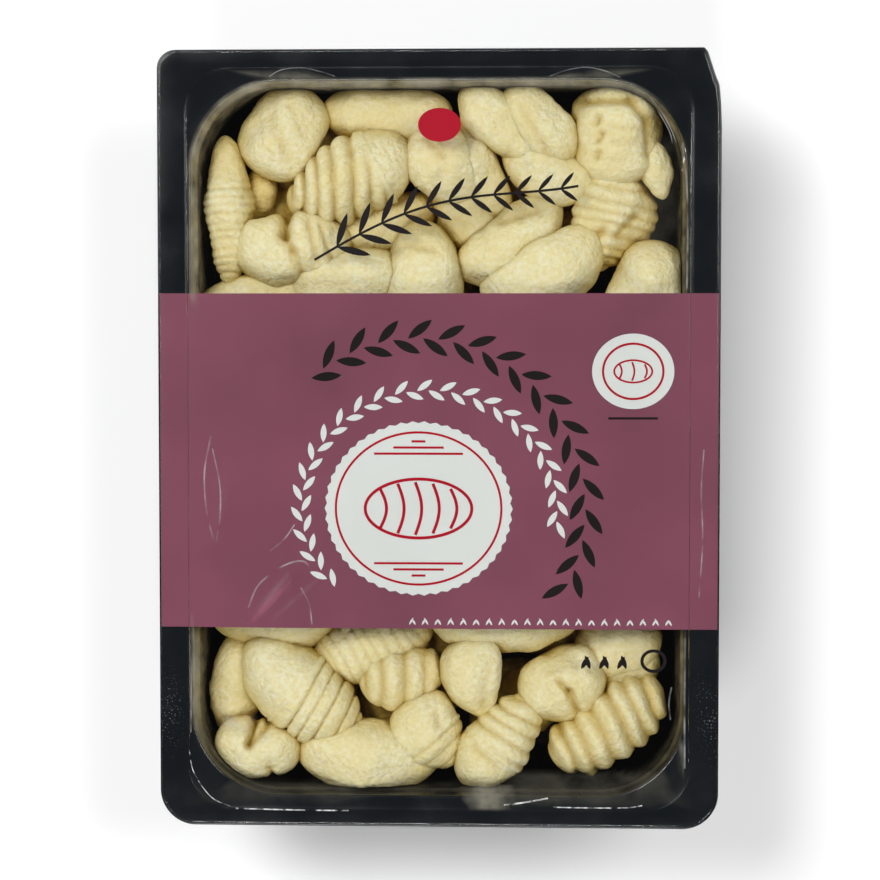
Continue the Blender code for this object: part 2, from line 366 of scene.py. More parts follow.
SMOOTH = (
    dict(at=(-37.9, 75.3), turn=62, size=(24.5, 20.0), crest=35.8, blunt=2.9, bend=0.2, facets=0.03,
         presses=((-41.0, 79.0, -37.0, 69.0, 0.5, 1.2), (-36.0, 82.0, -33.0, 74.0, 0.4, 1.0))),
    dict(at=(-13.3, 79.4), turn=0, size=(33.0, 14.0), crest=32.5, blunt=2.8, bend=0.5),
    dict(at=(0.6, 68.0), turn=-62, size=(24.0, 17.0), crest=35.2, blunt=2.2, bend=0.5,
         presses=((-3.0, 74.0, 1.0, 69.0, 1.0, 0.9),)),
    dict(at=(9.6, 65.9), turn=-68, size=(27.0, 12.0), crest=33.0, blunt=2.2, bend=0.4),
    dict(at=(26.4, 64.6), turn=-24, size=(26.0, 14.0), crest=34.4, blunt=2.2, bend=0.8),
    dict(at=(52.7, 65.8), turn=-80, size=(14.5, 8.0), crest=33.2, blunt=1.8, bend=0.3),
    dict(at=(18.1, 48.4), turn=38, size=(31.5, 16.0), crest=35.6, blunt=2.4, bend=0.6, facets=0.03,
         presses=((15.0, 53.5, 24.0, 56.0, 0.9, 1.2),)),
    dict(at=(26.2, 40.5), turn=28, size=(33.0, 18.5), crest=37.4, blunt=2.3, bend=0.8),
    dict(at=(51.2, 35.6), turn=66, size=(27.0, 20.5), crest=36.8, blunt=2.6, bend=0.2),
    dict(at=(-4.2, 38.4), turn=83, size=(31.0, 19.5), crest=37.3, blunt=2.8, bend=0.4, facets=0.03,
         presses=((-8.5, 47.6, -1.0, 46.6, 0.8, 1.0),)),
    dict(at=(-22.9, 37.8), turn=12, size=(31.0, 18.0), crest=35.6, blunt=2.4, bend=0.5),
    dict(at=(-43.2, 33.2), turn=3, size=(34.0, 15.5), crest=33.5, blunt=2.2, bend=0.4),
    dict(at=(-41.4, -45.1), turn=-1, size=(33.0, 16.0), crest=34.5, blunt=2.2, bend=0.2),
    dict(at=(-50.6, -61.6), turn=82, size=(26.0, 14.0), crest=31.5, blunt=2.2, bend=0.4),
    dict(at=(-18.0, -79.6), turn=-4, size=(36.5, 20.0), crest=37.2, blunt=1.75, bend=0.3, facets=0.02),
    dict(at=(8.4, -59.2), turn=-80, size=(21.5, 14.5), crest=36.0, blunt=2.7, bend=0.5,
         taper=-0.38, facets=0.04, presses=((12.5, -54.0, 11.0, -66.0, 0.4, 1.0),)),
    dict(at=(15.8, -45.4), turn=-2, size=(38.0, 15.0), crest=35.4, blunt=2.9, bend=0.3),
    dict(at=(44.5, -51.6), turn=8, size=(22.0, 17.0), crest=32.8, blunt=2.4, bend=0.4),
    dict(at=(47.0, -57.0), turn=60, size=(20.0, 14.0), crest=30.5, blunt=2.2, bend=0.4),
    dict(at=(-15.3, 51.8), turn=20, size=(31.0, 15.0), crest=31.0, blunt=2.2, bend=0.4),
    dict(at=(7.3, 55.2), turn=-50, size=(27.0, 15.0), crest=31.5, blunt=2.2, bend=0.4),
    dict(at=(-45.6, 60.0), turn=70, size=(15.0, 9.0), crest=28.5, blunt=2.2, bend=0.2),
)
FOLDED = (
    dict(at=(14.8, 77.2), turn=-40, size=(26.0, 12.5), crest=35.4, blunt=2.7, facets=0.02),
    dict(at=(24.4, 77.2), turn=-50, size=(24.5, 14.0), crest=36.2, blunt=2.5, facets=0.03,
         presses=((20.0, 81.0, 26.0, 71.0, 0.7, 1.2),)),
    dict(at=(43.4, 74.0), turn=88, size=(26.0, 22.0), crest=36.8, blunt=3.4, facets=0.02,
         presses=((35.0, 82.6, 47.0, 82.6, 1.5, 1.2), (47.0, 82.6, 51.0, 78.0, 1.5, 1.2),
                  (51.0, 78.0, 51.4, 69.5, 1.3, 1.1), (38.6, 78.6, 38.0, 77.2, 2.0, 0.8),
                  (39.4, 74.6, 38.4, 72.8, 2.0, 0.8), (38.6, 70.0, 38.2, 68.6, 1.6, 0.8),
                  (42.0, 76.0, 49.0, 75.6, 0.5, 0.7), (42.0, 72.6, 49.0, 72.2, 0.5, 0.7))),
    dict(at=(-36.5, 46.8), turn=6, size=(30.0, 18.5), crest=37.6, blunt=2.8,
         presses=((-37.6, 57.0, -37.8, 50.5, 3.0, 1.3), (-37.8, 50.5, -35.6, 46.0, 1.2, 1.0),
                  (-35.6, 46.0, -33.4, 40.0, 1.0, 1.2), (-29.0, 53.0, -26.0, 44.0, 1.0, 0.8),
                  (-32.0, 54.0, -29.5, 44.0, 1.0, 0.8))),
    dict(at=(-45.3, -77.2), turn=-6, size=(22.0, 15.0), crest=36.4, blunt=3.2,
         presses=((-45.5, -68.5, -47.2, -75.2, 2.6, 0.9), (-42.5, -70.5, -47.0, -76.2, 1.2, 0.8),
                  (-42.0, -82.0, -41.0, -86.0, 1.2, 0.9))),
    dict(at=(30.6, -61.0), turn=20, size=(22.5, 18.0), crest=36.4, blunt=3.0,
         presses=((29.4, -59.0, 32.2, -62.0, 1.6, 0.8), (32.2, -62.0, 34.4, -67.5, 1.8, 1.0),
                  (26.5, -57.0, 30.5, -55.2, 0.6, 1.2))),
)

RADIAL_STEPS = 64
LENGTH_STEPS = 68
RIDGED_STEPS = 120

# A gnocco is a little flatter than it is wide, and its lumps are of three sizes.
FLATNESS = 0.86
RIDGE_FADE = 0.08
TIP_FADE = 0.16
RIDGE_CROWN = 0.35
BOW = 3.0
CLEARANCE = 0.2
LUMPS = (
    # wavelength, height, number of waves
    (15.0, 0.50, 9),
    (6.0, 0.17, 9),
    (2.6, 0.075, 14),
)


def lumps(points, rng, wavelength, height, waves):
    """A smooth random field over 3-D points, the sum of plane waves in random directions."""
    total = np.zeros(len(points))
    for _ in range(waves):
        heading = np.array([rng.gauss(0, 1) for _ in range(3)])
        heading *= 2 * math.pi / wavelength * rng.uniform(0.7, 1.4) / np.linalg.norm(heading)
        total += np.sin(points @ heading + rng.uniform(0, 2 * math.pi))
    return total * height / math.sqrt(waves)


def turned(vectors, roll, tip, turn):
    """Vectors rolled about X, tipped about Y, then turned about Z."""
    for angle, first, second in ((roll, 1, 2), (tip, 2, 0), (turn, 0, 1)):
        c, s = math.cos(angle), math.sin(angle)
        a, b = vectors[:, first].copy(), vectors[:, second].copy()
        vectors[:, first] = c * a - s * b
        vectors[:, second] = s * a + c * b
    return vectors


def pressed(points):
    """Points kept off the tray's floor and walls, where soft dough flattens against them."""
    height = np.maximum(points[:, 2], WALL + BEAD_RISE + CLEARANCE)
    points[:, 2] = height
    below = np.clip((WALL_FOOT - height) / FLOOR_FILLET, 0.0, 1.0)
    foot = np.array(FLOOR)[:, None] + FLOOR_FILLET * np.sqrt(1.0 - below ** 2)
    share = np.clip((height - WALL_FOOT) / (WALL_TOP - WALL_FOOT), 0.0, 1.0)
    half_x, half_y, radius = foot + (np.array(set_in(MOUTH, WALL_INSET))[:, None] - foot) * share
    half = np.stack([half_x - radius, half_y - radius], axis=1)
    corner = np.maximum(np.abs(points[:, :2]) - half, 0.0)
    away = np.linalg.norm(corner, axis=1)
    over = np.clip(away - radius + CLEARANCE, 0.0, None) / np.maximum(away, 0.001)
    points[:, :2] -= np.sign(points[:, :2]) * corner * over[:, None]
    return points


def gnocco(rng, at, turn, size, crest, blunt=2.3, ridges=None, slant=0.0, presses=(), bend=0.2,
           facets=0.015, taper=0.0, roll=0.0, around=RADIAL_STEPS, along=LENGTH_STEPS):
    """Points of one gnocco where it lies, row by row from tip to tip, and how hollow and how much to the
    side each one is, which set where shade is painted on it."""
    length, width = size
    tip_to_tip = np.linspace(-1.0, 1.0, along)
    place = np.repeat(0.6 * np.sin(0.5 * math.pi * tip_to_tip) + 0.4 * tip_to_tip, around)
    angle = np.tile(np.arange(around) * 2 * math.pi / around, along)
    swell = np.clip(1.0 - np.abs(place) ** blunt, 0.0, 1.0) ** rng.uniform(0.52, 0.60)
    reach = 0.5 * width * swell * (1.0 + (taper + rng.uniform(-0.10, 0.10)) * place)
    girth = facets * np.cos(3 * angle + rng.uniform(0, 6))
    reach *= 1.0 + girth + facets * np.cos(5 * angle + rng.uniform(0, 6))
    # hollow marks the grooves and dents, where shade is painted into the dough.
    hollow = np.zeros(len(place))
    if ridges:
        pitch, depth, sharpness, start, end = ridges
        phase = (place * length / 2 + slant * np.cos(angle) * width / 2) / pitch + rng.uniform(0, 1)
        phase += 0.10 * np.sin(1.7 * phase + rng.uniform(0, 6)) + 0.05 * np.sin(3 * angle)
        groove = np.abs(2.0 * (phase % 1.0) - 1.0) ** sharpness
        begun = ramp(place, start - RIDGE_FADE, start + RIDGE_FADE)
        groove *= begun * (1.0 - ramp(place, end - RIDGE_FADE, end + RIDGE_FADE))
        upper_side = np.clip(0.8 + np.sin(angle), 0.0, 1.0) ** 0.6
        groove *= upper_side * np.clip((1.0 - np.abs(place)) / TIP_FADE, 0.0, 1.0)
        reach -= depth * (groove - RIDGE_CROWN * (groove > 0)) * (1.0 + 0.25 * np.sin(2.3 * phase))
        hollow += groove * min(depth, 1.0)
    points = np.stack([place * length / 2, reach * np.cos(angle), reach * FLATNESS * np.sin(angle)], axis=1)
    outward = np.stack([0.3 * place, np.cos(angle), np.sin(angle)], axis=1)
    bulge = sum(lumps(points, rng, *kind) for kind in LUMPS)
    points += outward * (bulge * np.clip(swell, 0.3, 1.0))[:, None]
    points[:, 1] += bend * place ** 2 * BOW
    tip = rng.uniform(-0.05, 0.05)
    points = turned(points, roll, tip, math.radians(turn))
    outward = turned(outward, roll, tip, math.radians(turn))
    points += np.array([*at, crest - points[:, 2].max()])
    for start_x, start_y, end_x, end_y, depth, half_width in presses:
        run = np.array([end_x - start_x, end_y - start_y])
        off = points[:, :2] - (start_x, start_y)
        share = np.clip(off @ run / (run @ run), 0.0, 1.0)
        away = np.linalg.norm(off - share[:, None] * run, axis=1)
        on_top = ramp(points[:, 2], crest - 0.75 * width, crest - 0.5 * width)
        dent = np.exp(-(away / half_width) ** 1.6) * on_top
        points -= outward * (depth * dent)[:, None]
        hollow += dent * min(depth / 1.5, 1.0)
    # aside marks its lower flanks, where shade is painted into the dough.
    aside = 1.0 - ramp(points[:, 2], crest - 0.48 * width, crest - 0.10 * width)
    return pressed(points), hollow, aside


# The dough is painted with darker shade low in the heap, and where it lies below the heap's mean level
# round it, which is read in small cells of the plan. A cell with no dough in it counts as the gap's level.
LIT_LEVELS = (24.0, 35.0)
CREVICE_DEPTHS = (0.2, 2.7)
CELL = 0.9
REACH = 3
HEAP_GAP = 22.0


def cells(points):
    """The small cell of the plan that each point stands over, as a column and a row."""
    column = np.clip((points[:, 0] + HALF_WIDTH) / CELL, 0, 2 * HALF_WIDTH / CELL).astype(int)
    row = np.clip((points[:, 1] + HALF_LENGTH) / CELL, 0, 2 * HALF_LENGTH / CELL).astype(int)
    return column, row


def heap_level(bodies):
    """The mean height of the heap's top round each small cell of the plan."""
    points = np.concatenate([body for body, _, _ in bodies])
    top = np.full((int(2 * HALF_WIDTH / CELL) + 1, int(2 * HALF_LENGTH / CELL) + 1), HEAP_GAP)
    np.maximum.at(top, cells(points), points[:, 2])
    steps = range(-REACH, REACH + 1)
    shifts = [(x, y) for x in steps for y in steps if x * x + y * y <= REACH ** 2]
    return sum(np.roll(top, shift, axis=(0, 1)) for shift in shifts) / len(shifts)


def gather(name, bodies, level, around):
    """One mesh of many gnocchi, each a tube of rows closed at its two tips."""
    points, hollow, aside = (np.concatenate(values) for values in zip(*bodies))
    faces = []
    base = 0
    for body, _, _ in bodies:
        rows = len(body) // around
        for row in range(rows - 1):
            for index in range(around):
                following = (index + 1) % around
                start, ahead = base + row * around, base + (row + 1) * around
                faces.append((start + index, ahead + index, ahead + following, start + following))
        faces.append(tuple(base + index for index in range(around)))
        faces.append(tuple(base + (rows - 1) * around + index for index in reversed(range(around))))
        base += len(body)
    mesh = bpy.data.meshes.new(name)
    mesh.from_pydata((points * MM).tolist(), [], faces)
    mesh.shade_smooth()
    # Where shade is painted: in hollows, low in the heap, on the flanks, and in crevices under the heap's
    # level.
    painted(mesh, "hollow", np.clip(hollow, 0.0, 1.0))
    painted(mesh, "buried", 1.0 - ramp(points[:, 2], *LIT_LEVELS))
    painted(mesh, "aside", aside)
    painted(mesh, "crevice", ramp(level[cells(points)] - points[:, 2], *CREVICE_DEPTHS))
    return mesh


# Painted shade: darker, warmer dough in each painted place.
PAINTED_DOUGH_SHADE = (
    # where it is painted, its strength, its colour
    ("aside", 0.62, (0.63, 0.48, 0.12)),
    ("buried", 0.85, (0.56, 0.39, 0.07)),
    ("hollow", 0.85, (0.56, 0.40, 0.10)),
    ("crevice", 0.92, (0.42, 0.27, 0.035)),
)


def potato_dough():
    """Moist cream dough with floury paler patches, and painted shade, darker and warmer, on its flanks, in
    its hollows and crevices and lower in the heap.
    """
    material, tree, shader, _ = new_material("potato_dough")
    shader.inputs["Subsurface Weight"].default_value = 0.2
    shader.inputs["Subsurface Scale"].default_value = 0.003
    shader.inputs["Subsurface Radius"].default_value = (1.0, 0.7, 0.3)
    shader.inputs["Specular IOR Level"].default_value = 0.35
    mottle = speckle(tree, 800.0, 6.0, 0.38, 0.64).outputs["Result"]
    cream = blended(tree, mottle, (0.81, 0.725, 0.40), (0.87, 0.82, 0.56))
    broad = speckle(tree, 95.0, 2.0, 0.42, 0.62).outputs["Result"]
    cream = blended(tree, multiplied(tree, broad, 0.45), cream, (0.80, 0.68, 0.31))
    for paint, strength, colour in PAINTED_DOUGH_SHADE:
        cream = blended(tree, multiplied(tree, read_paint(tree, paint), strength), cream, colour)
    tree.links.new(cream, shader.inputs["Base Color"])
    gloss = speckle(tree, 260.0, 3.0, 0.3, 0.7)
    gloss.inputs["To Min"].default_value = 0.42
    gloss.inputs["To Max"].default_value = 0.62
    tree.links.new(gloss.outputs["Result"], shader.inputs["Roughness"])
    grain = speckle(tree, 850.0, 5.0, 0.2, 0.8)
    bump = tree.nodes.new("ShaderNodeBump")
    bump.inputs["Strength"].default_value = 0.65
    bump.inputs["Distance"].default_value = 0.0006
    tree.links.new(grain.outputs["Result"], bump.inputs["Height"])
    tree.links.new(bump.outputs["Normal"], shader.inputs["Normal"])
    return material


rng = random.Random(11)
ridged = [gnocco(rng, along=RIDGED_STEPS, **form) for form in RIDGED]
smooth = [gnocco(rng, **form) for form in SMOOTH]
folded = [gnocco(rng, **form) for form in FOLDED]

# The gnocchi under the printed band and those of the two lower layers, in staggered rows.
UNDER_AROUND = 28
UNDER_ALONG = 40
UNDER_ROW = 17.0
UNDER_COLUMN = 25.0
UNDER_STAGGER = 6.0
UNDER_SCATTER = 2
UNDER_LAYERS = (
    # crest, reach in x, lowest and highest row
    (17.5, 40.0, -63.0, 70.0),
    (26.0, 43.0, -66.0, 72.0),
    (35.0, 44.0, -31.0, 24.0),
)
under_bodies = []
for crest, reach_x, low_y, high_y in UNDER_LAYERS:
    rows = round((high_y - low_y) / UNDER_ROW)
    for row in range(rows + 1):
        y = low_y + (high_y - low_y) * row / rows
        stagger = UNDER_STAGGER if row % 2 else -UNDER_STAGGER
        for column in range(-2, 3):
            x = UNDER_COLUMN * column + stagger + rng.uniform(-UNDER_SCATTER, UNDER_SCATTER)
            form = dict(at=(x, y + rng.uniform(-UNDER_SCATTER, UNDER_SCATTER)),
                        turn=math.degrees(rng.uniform(-0.8, 0.8)),
                        size=(rng.uniform(29, 34), rng.uniform(15.5, 17.5)),
                        crest=crest - rng.uniform(0, 1.5),
                        ridges=(3.8, rng.choice((0.2, 0.6, 0.9)), 2.0, -1.0, 1.0),
                        roll=rng.uniform(-1, 1))
            if abs(x) <= reach_x:
                under_bodies.append(gnocco(rng, **form, around=UNDER_AROUND, along=UNDER_ALONG))

dough = potato_dough()
level = heap_level(ridged + smooth + folded + under_bodies)
heap = (
    ("gnocchi_ridged", ridged, RADIAL_STEPS),
    ("gnocchi_smooth", smooth, RADIAL_STEPS),
    ("gnocchi_folded", folded, RADIAL_STEPS),
    ("gnocchi_beneath", under_bodies, UNDER_AROUND),
)
for name, bodies, around in heap:
    add_piece(name, gather(name, bodies, level, around), dough, "potato_dough", "gnocchi")

# ------------------------------------------------------------------ clear lid film
# The lid is one clear film, welded to the flange along a fine ridge and cut just inside its edge.
# It is taut over the mouth, stands a little high in the middle, and is creased where it was gripped.

FILM_THICKNESS = 0.06
FILM_LIFT = 0.12
FILM_SETBACK = 0.4
FILM_EDGE_INSETS = (FILM_SETBACK, 0.9, 1.7, 2.8)
SEAL_RIDGE = 0.09
SEAL_RIDGE_WIDTH = 0.32
SEAL_RIDGE_INSETS = (-0.8, -0.5, -0.3, -0.15, 0.0, 0.15, 0.3, 0.5)
FILM_CROWN = 1.0
CROWN_RUN = 22.0
CREASES = (
    # start x, y, end x, y, height, half width
    (-46.5, -46.0, -32.5, -29.5, 0.40, 1.2),
    (-42.5, -47.0, -24.5, -30.5, 0.32, 1.0),
    (-34.5, -41.0, -38.5, -24.5, 0.25, 1.0),
    (-56.0, -30.0, -50.0, -8.0, 0.20, 1.5),
    (-53.0, -68.0, -46.0, -70.5, 0.40, 1.0),
    (-43.0, 88.6, -28.0, 88.6, 0.30, 1.4),
    (30.0, 88.8, 42.0, 88.4, 0.30, 1.4),
    (57.0, 60.0, 59.5, 76.0, 0.35, 1.1),
)


def outline_distance(x, y, half_x, half_y, radius):
    """Distance outside a rounded rectangle, negative inside it."""
    over_x, over_y = np.abs(x) - (half_x - radius), np.abs(y) - (half_y - radius)
    corner = np.hypot(np.maximum(over_x, 0.0), np.maximum(over_y, 0.0))
    return corner + np.minimum(np.maximum(over_x, over_y), 0.0) - radius


def crease(x, y, start_x, start_y, end_x, end_y, height, half_width):
    """A soft ridge in the film along a short line, fading towards its ends."""
    run_x, run_y = end_x - start_x, end_y - start_y
    share = ((x - start_x) * run_x + (y - start_y) * run_y) / (run_x ** 2 + run_y ** 2)
    held = np.clip(share, 0.0, 1.0)
    away = np.hypot(x - start_x - held * run_x, y - start_y - held * run_y)
    return height * np.exp(-(away / half_width) ** 2) * np.sin(math.pi * np.clip(share, 0.05, 0.95))


def film_height(x, y):
    """Height of the film's underside over a point, in millimetres."""
    inset = -outline_distance(x, y, HALF_WIDTH, HALF_LENGTH, np.where(y > 0, *FLANGE_RADII))
    height = FLANGE_TOP + FILM_LIFT - droop(inset)
    patchy_x = np.sin(1.9 * x + 2.0 * np.sin(0.31 * x))
    patchy_y = np.sin(1.3 * y + 2.0 * np.sin(0.23 * y) + 1.0)
    uneven = 0.55 + 0.45 * patchy_x * patchy_y
    ridge = SEAL_RIDGE * (0.45 + 0.55 * ramp(-y, 70.0, 86.0)) * uneven
    height += ridge * np.exp(-(outline_distance(x, y, *SEAL) / SEAL_RIDGE_WIDTH) ** 2)
    free = np.clip(-outline_distance(x, y, *MOUTH) / CROWN_RUN, 0.0, 1.0)
    height += FILM_CROWN * free ** 0.8
    height += 0.14 * free * np.sin(x / 6.3 + 1.0) * np.sin(y / 9.1 + 0.4)
    height += 0.10 * free * np.sin((x + 0.7 * y) / 5.2) * np.sin((y - 0.4 * x) / 7.7 + 2.0)
    for line in CREASES:
        height += crease(x, y, *line)
    return height


def film_rings():
    """Rings of the film's underside from the cut edge in to the middle."""
    flat = [flange_outline(inset) for inset in FILM_EDGE_INSETS]
    flat += [rounded_outline(*set_in(SEAL, inset)) for inset in SEAL_RIDGE_INSETS]
    flat.append(rounded_outline(*set_in(MOUTH, -0.25)))
    for share in np.concatenate([np.linspace(1.0, 0.9, 10), np.linspace(0.885, 0.02, 56)]):
        flat.append(rounded_outline(*(size * share for size in MOUTH)))
    return [np.column_stack([outline, film_height(outline[:, 0], outline[:, 1])]) for outline in flat]


# The film is hazy where it is folded or scuffed. A pale painted glare lies along the mouth's edge and over
# the rim's folds, and faintly in three broad places. The printed band runs right across between its two
# levels, and no haze or glare shows over it.
BAND_LOW = -45.9
BAND_HIGH = 35.9
HAZE_AND_GLARE = (
    # middle x, y, half width, half length, strength
    (12.4, -87.6, 4.2, 3.0, 0.26),
    (-49.3, -69.4, 3.4, 1.6, 0.30),
    (59.8, -78.0, 0.9, 3.6, 0.30),
    (38.0, -85.0, 21.0, 3.8, 0.035),
    (-38.0, -87.0, 20.0, 2.6, 0.022),
    (52.0, 55.0, 6.0, 18.0, 0.02),
    (-35.5, 89.0, 8.0, 1.0, 0.12),
    (36.0, 89.0, 8.0, 1.0, 0.12),
)


def haze_and_glare(x, y):
    """How milky the film is, real haze and painted glare together: along the mouth's edge, where it is
    drawn tight, and in its patches of haze and glare.
    """
    inside = -outline_distance(x, y, *MOUTH)
    # Painted glare along the mouth's edge, on the -X side and at the +Y end, none at the -Y end.
    edge = ramp(inside, -0.2, 0.5) * (1.0 - ramp(inside, 0.8, 3.2))
    amount = edge * (0.18 * ramp(-x, 35.0, 60.0) + 0.25 * ramp(y, 78.0, 87.0)) * ramp(y, -80.0, -60.0)
    for at_x, at_y, half_x, half_y, strength in HAZE_AND_GLARE:
        across = 1.0 - ramp(np.abs(x - at_x), 0.75 * half_x, 1.15 * half_x)
        along = 1.0 - ramp(np.abs(y - at_y), 0.75 * half_y, 1.15 * half_y)
        amount += strength * across * along
    clear = 1.0 - ramp(y, BAND_LOW - 1.0, BAND_LOW) * (1.0 - ramp(y, BAND_HIGH, BAND_HIGH + 1.0))
    return np.clip(amount * clear, 0.0, 1.0)


def mixed(tree, factor, first, second):
    """The socket of a shader between two others."""
    mix = tree.nodes.new("ShaderNodeMixShader")
    for socket, value in zip(mix.inputs, (factor, first, second)):
        tree.links.new(value, socket)
    return mix.outputs["Shader"]


def clear_film():
    """Clear film: see-through, with a sheen that grows, by Schlick's rule, towards its edge-on view."""
    material, tree, shader, output = new_material("clear_lid_film")
    shader.inputs["Base Color"].default_value = (0.9, 0.9, 0.9, 1.0)
    shader.inputs["Metallic"].default_value = 1.0
    haze = speckle(tree, 60.0, 2.0, 0.3, 0.7)
    haze.inputs["To Min"].default_value = 0.05
    haze.inputs["To Max"].default_value = 0.12
    tree.links.new(haze.outputs["Result"], shader.inputs["Roughness"])
    facing = tree.nodes.new("ShaderNodeLayerWeight")
    facing.inputs["Blend"].default_value = 0.5
    edge_on = facing.outputs["Facing"]
    sheen = tree.nodes.new("ShaderNodeMapRange")
    sheen.inputs["To Min"].default_value = 0.034
    square = multiplied(tree, edge_on, edge_on)
    tree.links.new(multiplied(tree, multiplied(tree, square, square), edge_on), sheen.inputs["Value"])
    through = tree.nodes.new("ShaderNodeBsdfTransparent")
    through.inputs["Color"].default_value = (0.95, 0.95, 0.945, 1.0)
    glossy = mixed(tree, sheen.outputs["Result"], through.outputs["BSDF"], shader.outputs["BSDF"])
    # The milky layer, partly haze and partly painted glare, is a pale matt sheet mixed in by the painted
    # amount.
    cloud = tree.nodes.new("ShaderNodeBsdfPrincipled")
    cloud.inputs["Base Color"].default_value = (0.50, 0.47, 0.36, 1.0)
    cloud.inputs["Roughness"].default_value = 0.5
    streaks = speckle(tree, 150.0, 3.0, 0.25, 0.65).outputs["Result"]
    glare_and_haze_amount = multiplied(tree, read_paint(tree, "haze_and_glare"), streaks)
    tree.links.new(mixed(tree, glare_and_haze_amount, glossy, cloud.outputs["BSDF"]), output.inputs["Surface"])
    return material


film_mesh = skin("lid_film_clear", film_rings())
film_x, film_y, _ = np.array([vert.co for vert in film_mesh.vertices]).T / MM
painted(film_mesh, "haze_and_glare", haze_and_glare(film_x, film_y))
film = add_piece("lid_film_clear", film_mesh, clear_film(), "lid_film", "lid_film")
thickness = film.modifiers.new("thickness", "SOLIDIFY")
thickness.thickness = FILM_THICKNESS * MM
thickness.offset = 1.0

# Fine sharp folds are drawn on the film as narrow pale ribbons, a painted highlight of their glint, most of
# them where it was gripped.
FOLD_HEIGHT = 0.05
FOLDS = (
    # width, then the points that the fold runs through
    (0.45, (-46.5, -41.0), (-44.0, -35.5), (-38.5, -31.0), (-33.0, -29.5), (-30.0, -33.0)),
    (0.35, (-33.5, -36.0), (-31.5, -40.0), (-30.8, -45.0)),
    (0.35, (-41.0, -27.0), (-37.5, -24.0), (-35.0, -20.5)),
    (0.40, (-55.6, 1.0), (-57.2, -8.0), (-56.6, -18.0), (-54.2, -27.0)),
    (0.35, (-55.2, -2.0), (-53.4, -11.0), (-53.4, -19.0), (-54.4, -25.0)),
    (0.35, (64.6, -2.0), (64.0, -12.0), (64.4, -24.0), (63.6, -38.0)),
    (0.22, (-41.0, 88.4), (-38.0, 90.0), (-33.0, 90.5), (-28.0, 89.4), (-25.0, 88.4)),
    (0.22, (27.0, 88.2), (31.0, 89.6), (36.0, 90.3), (41.0, 89.2), (44.0, 87.8)),
    (0.25, (51.2, 83.0), (54.6, 78.5), (57.4, 72.5), (58.6, 66.0)),
    (0.25, (53.0, 80.0), (56.0, 74.5), (57.0, 69.0)),
    (0.45, (59.0, 72.0), (60.0, 64.0), (60.4, 52.0), (60.3, 37.0)),
    (0.45, (60.3, -48.0), (60.2, -60.0), (60.3, -80.0)),
    (0.30, (-61.0, -48.0), (-60.8, -58.0), (-60.9, -72.0)),
    (0.35, (57.0, -60.0), (56.4, -64.0), (56.8, -68.0)),
)

# The weld's glint is painted as four bright dashes, a painted highlight, all at the end away from the
# peeling corner.
WELDS = (
    # width, then the points that the dash runs through
    (0.32, (-50.0, -90.8), (-40.0, -91.0), (-30.0, -91.1), (-22.0, -91.1)),
    (0.40, (16.2, -89.4), (20.0, -88.9), (23.5, -88.3), (27.0, -87.6)),
    (0.28, (27.6, -89.8), (36.0, -89.9), (46.0, -89.8), (50.0, -89.2)),
    (0.18, (-61.4, -76.0), (-60.2, -82.0), (-56.0, -88.0), (-51.0, -90.4)),
)


def stroke(path, width, closed=False):
    """A ribbon of even width along a path in plan."""
    path = np.asarray(path, float)
    run = np.roll(path, -1, axis=0) - np.roll(path, 1, axis=0)
    if not closed:
        run[0], run[-1] = path[1] - path[0], path[-1] - path[-2]
    side = np.column_stack([-run[:, 1], run[:, 0]]) / np.linalg.norm(run, axis=1)[:, None] * width / 2
    count = len(path)
    faces = []
    for index in range(count if closed else count - 1):
        following = (index + 1) % count
        faces.append((index, following, count + following, count + index))
    return np.concatenate([path - side, path + side]), faces


def flowing(points, steps=10):
    """A smooth run of points through a few, by Catmull-Rom."""
    points = np.array(points, float)
    padded = np.concatenate([[2 * points[0] - points[1]], points, [2 * points[-1] - points[-2]]])
    run = []
    for before, start, end, after in zip(padded, padded[1:], padded[2:], padded[3:]):
        for t in np.arange(steps) / steps:
            squared = (2 * before - 5 * start + 4 * end - after) * t ** 2
            cubed = (3 * start - before - 3 * end + after) * t ** 3
            run.append(0.5 * (2 * start + (end - before) * t + squared + cubed))
    return np.array(run + [points[-1]])


def on_film(name, shapes, rise):
    """A mesh of shapes in plan, each of points and faces, laid at a rise over the film's underside."""
    points, faces, base = [], [], 0
    for flat, shape_faces in shapes:
        points.append(np.column_stack([flat, film_height(flat[:, 0], flat[:, 1]) + rise]))
        faces += [tuple(base + corner for corner in face) for face in shape_faces]
        base += len(flat)
    mesh = bpy.data.meshes.new(name)
    mesh.from_pydata((np.concatenate(points) * MM).tolist(), [], faces)
    mesh.shade_smooth()
    return mesh


def fold_glint(name, fineness, strength):
    """A painted highlight: the broken white shine of a sharp fold in clear film."""
    material, tree, shader, output = new_material(name)
    shader.inputs["Base Color"].default_value = (0.75, 0.76, 0.76, 1.0)
    shader.inputs["Roughness"].default_value = 0.25
    through = tree.nodes.new("ShaderNodeBsdfTransparent")
    shine = multiplied(tree, speckle(tree, fineness, 2.0, 0.38, 0.66).outputs["Result"], strength)
    fold = mixed(tree, shine, through.outputs["BSDF"], shader.outputs["BSDF"])
    tree.links.new(fold, output.inputs["Surface"])
    return material


GLINTS = (
    # piece, its lines, how finely its shine is broken, how strong it is
    ("film_fold_glints", FOLDS, 170.0, 0.26),
    ("film_weld_glints", WELDS, 620.0, 0.85),
)
# Each line is drawn as a pale ribbon on the film: a painted highlight.
for name, lines, fineness, strength in GLINTS:
    shapes = [stroke(flowing(points), width) for width, *points in lines]
    mesh = on_film(name, shapes, FILM_THICKNESS + FOLD_HEIGHT)
    add_piece(name, mesh, fold_glint(name, fineness, strength), "lid_film", "lid_film")

# ------------------------------------------------------------------ printed band
# A broad plum band is printed across the film's inner side, from edge to edge, and the badges and
# marks are printed with it. The ink is opaque and follows every wave of the film.

